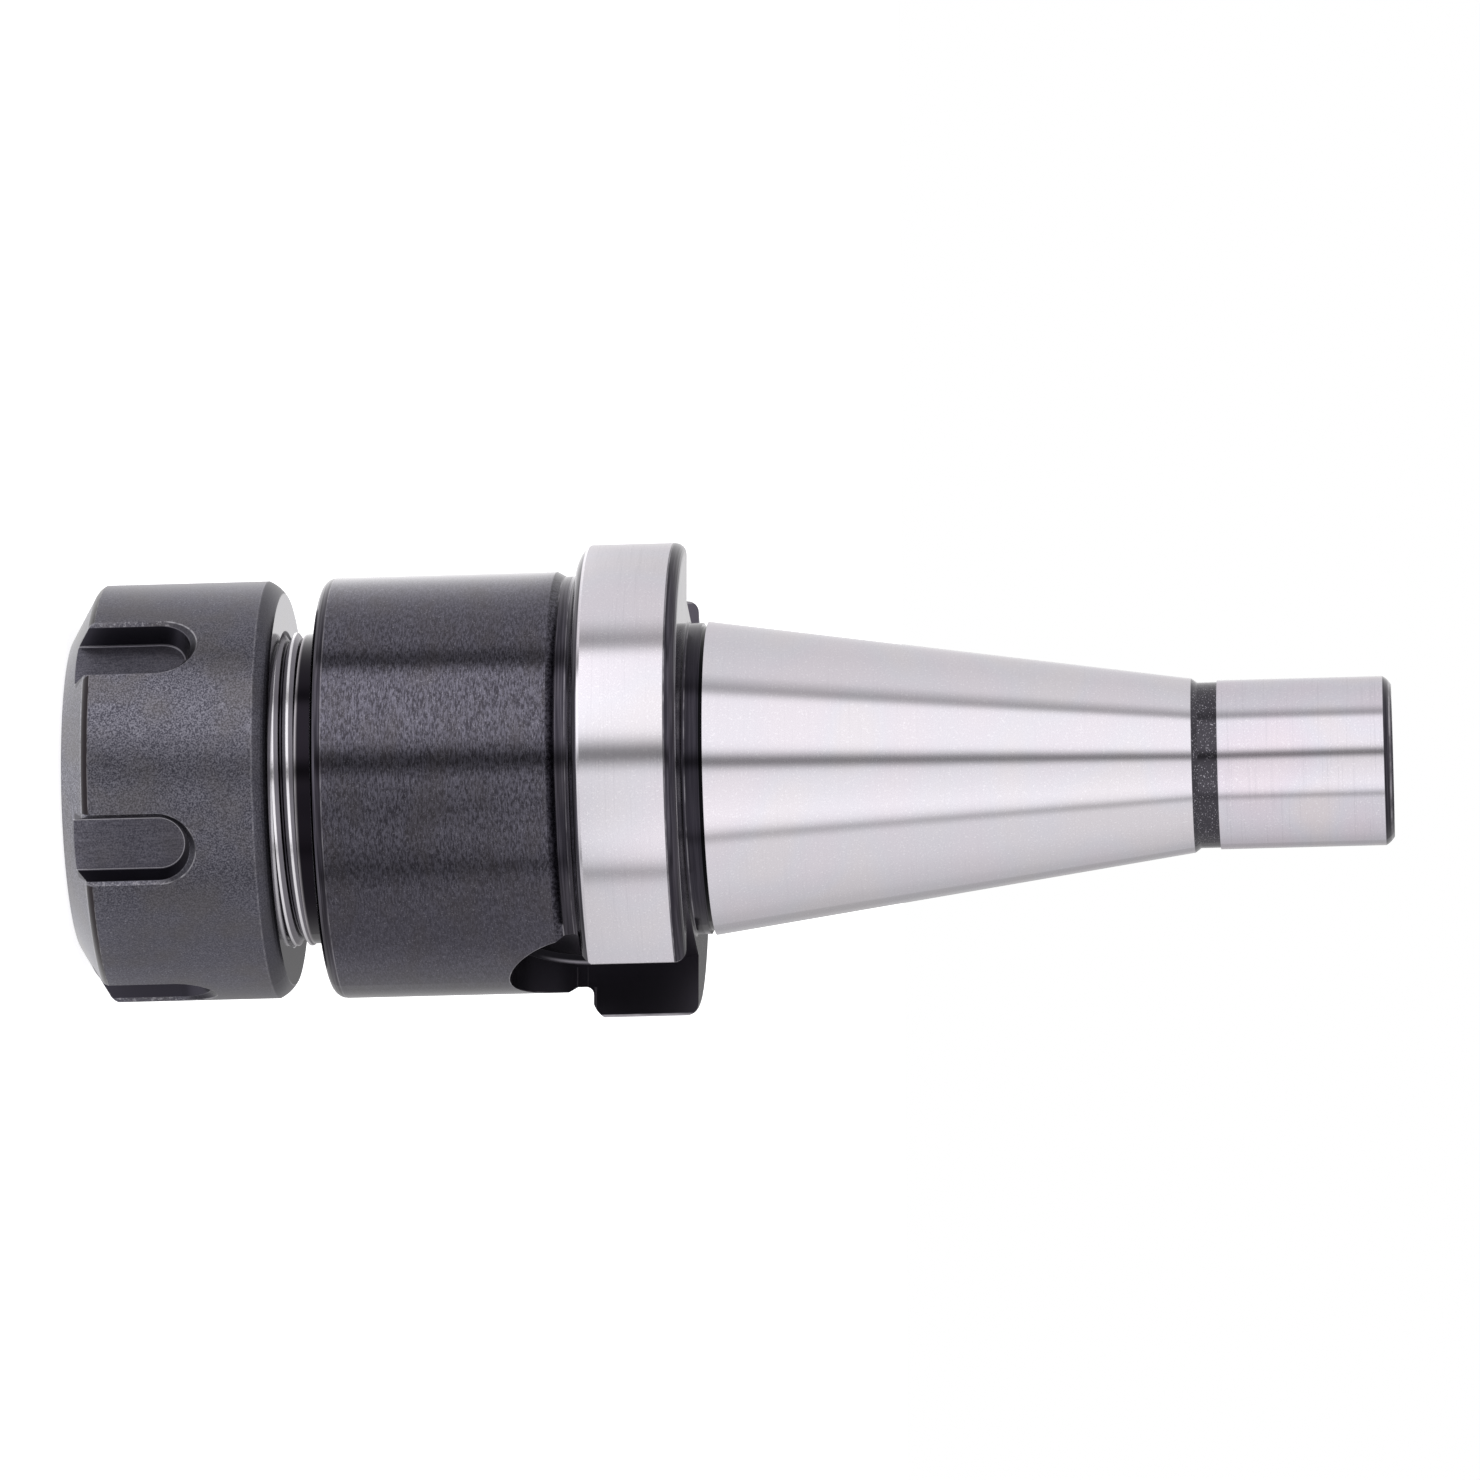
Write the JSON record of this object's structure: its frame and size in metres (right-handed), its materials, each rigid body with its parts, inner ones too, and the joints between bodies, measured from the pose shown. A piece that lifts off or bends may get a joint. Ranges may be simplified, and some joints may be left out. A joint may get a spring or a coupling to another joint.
{
  "type": "collet chuck holder",
  "caption": "Tool holder with a steep taper and drive flange at one end and a collet with a slotted clamping nut at the other, which grips a round tool shank.",
  "frame": {"origin": "centre of the clamping nut's front face, on which the chuck stands", "axes": "+Z along the axis from the nut to the pilot, +X through the middle of one drive slot"},
  "size_m": [0.0454, 0.0482, 0.1338],
  "materials": {
    "holder_steel": "ground steel with black oxide zones",
    "nut_oxide": "satin black oxide",
    "collet_steel": "fine ground"
  },
  "bodies": {
    "holder": {"holder_body": "holder_steel"},
    "collet": {"collet": "collet_steel"},
    "nut": {"clamping_nut": "nut_oxide"}
  },
  "joints": [
    {"name": "collet_travel", "type": "slide", "parent": "holder", "child": "collet", "axis": [0, 0, -1], "range_m": [0, 0.0106]},
    {"name": "nut_turn", "type": "hinge", "parent": "collet", "child": "nut", "pos_m": [0, 0, 0.01], "axis": [0, 0, -1], "range_deg": [0, 2520]}
  ],
  "couplings": [
    {"joint": "collet_travel", "follows": "nut_turn", "m_per_rad": 0.00023873}
  ]
}
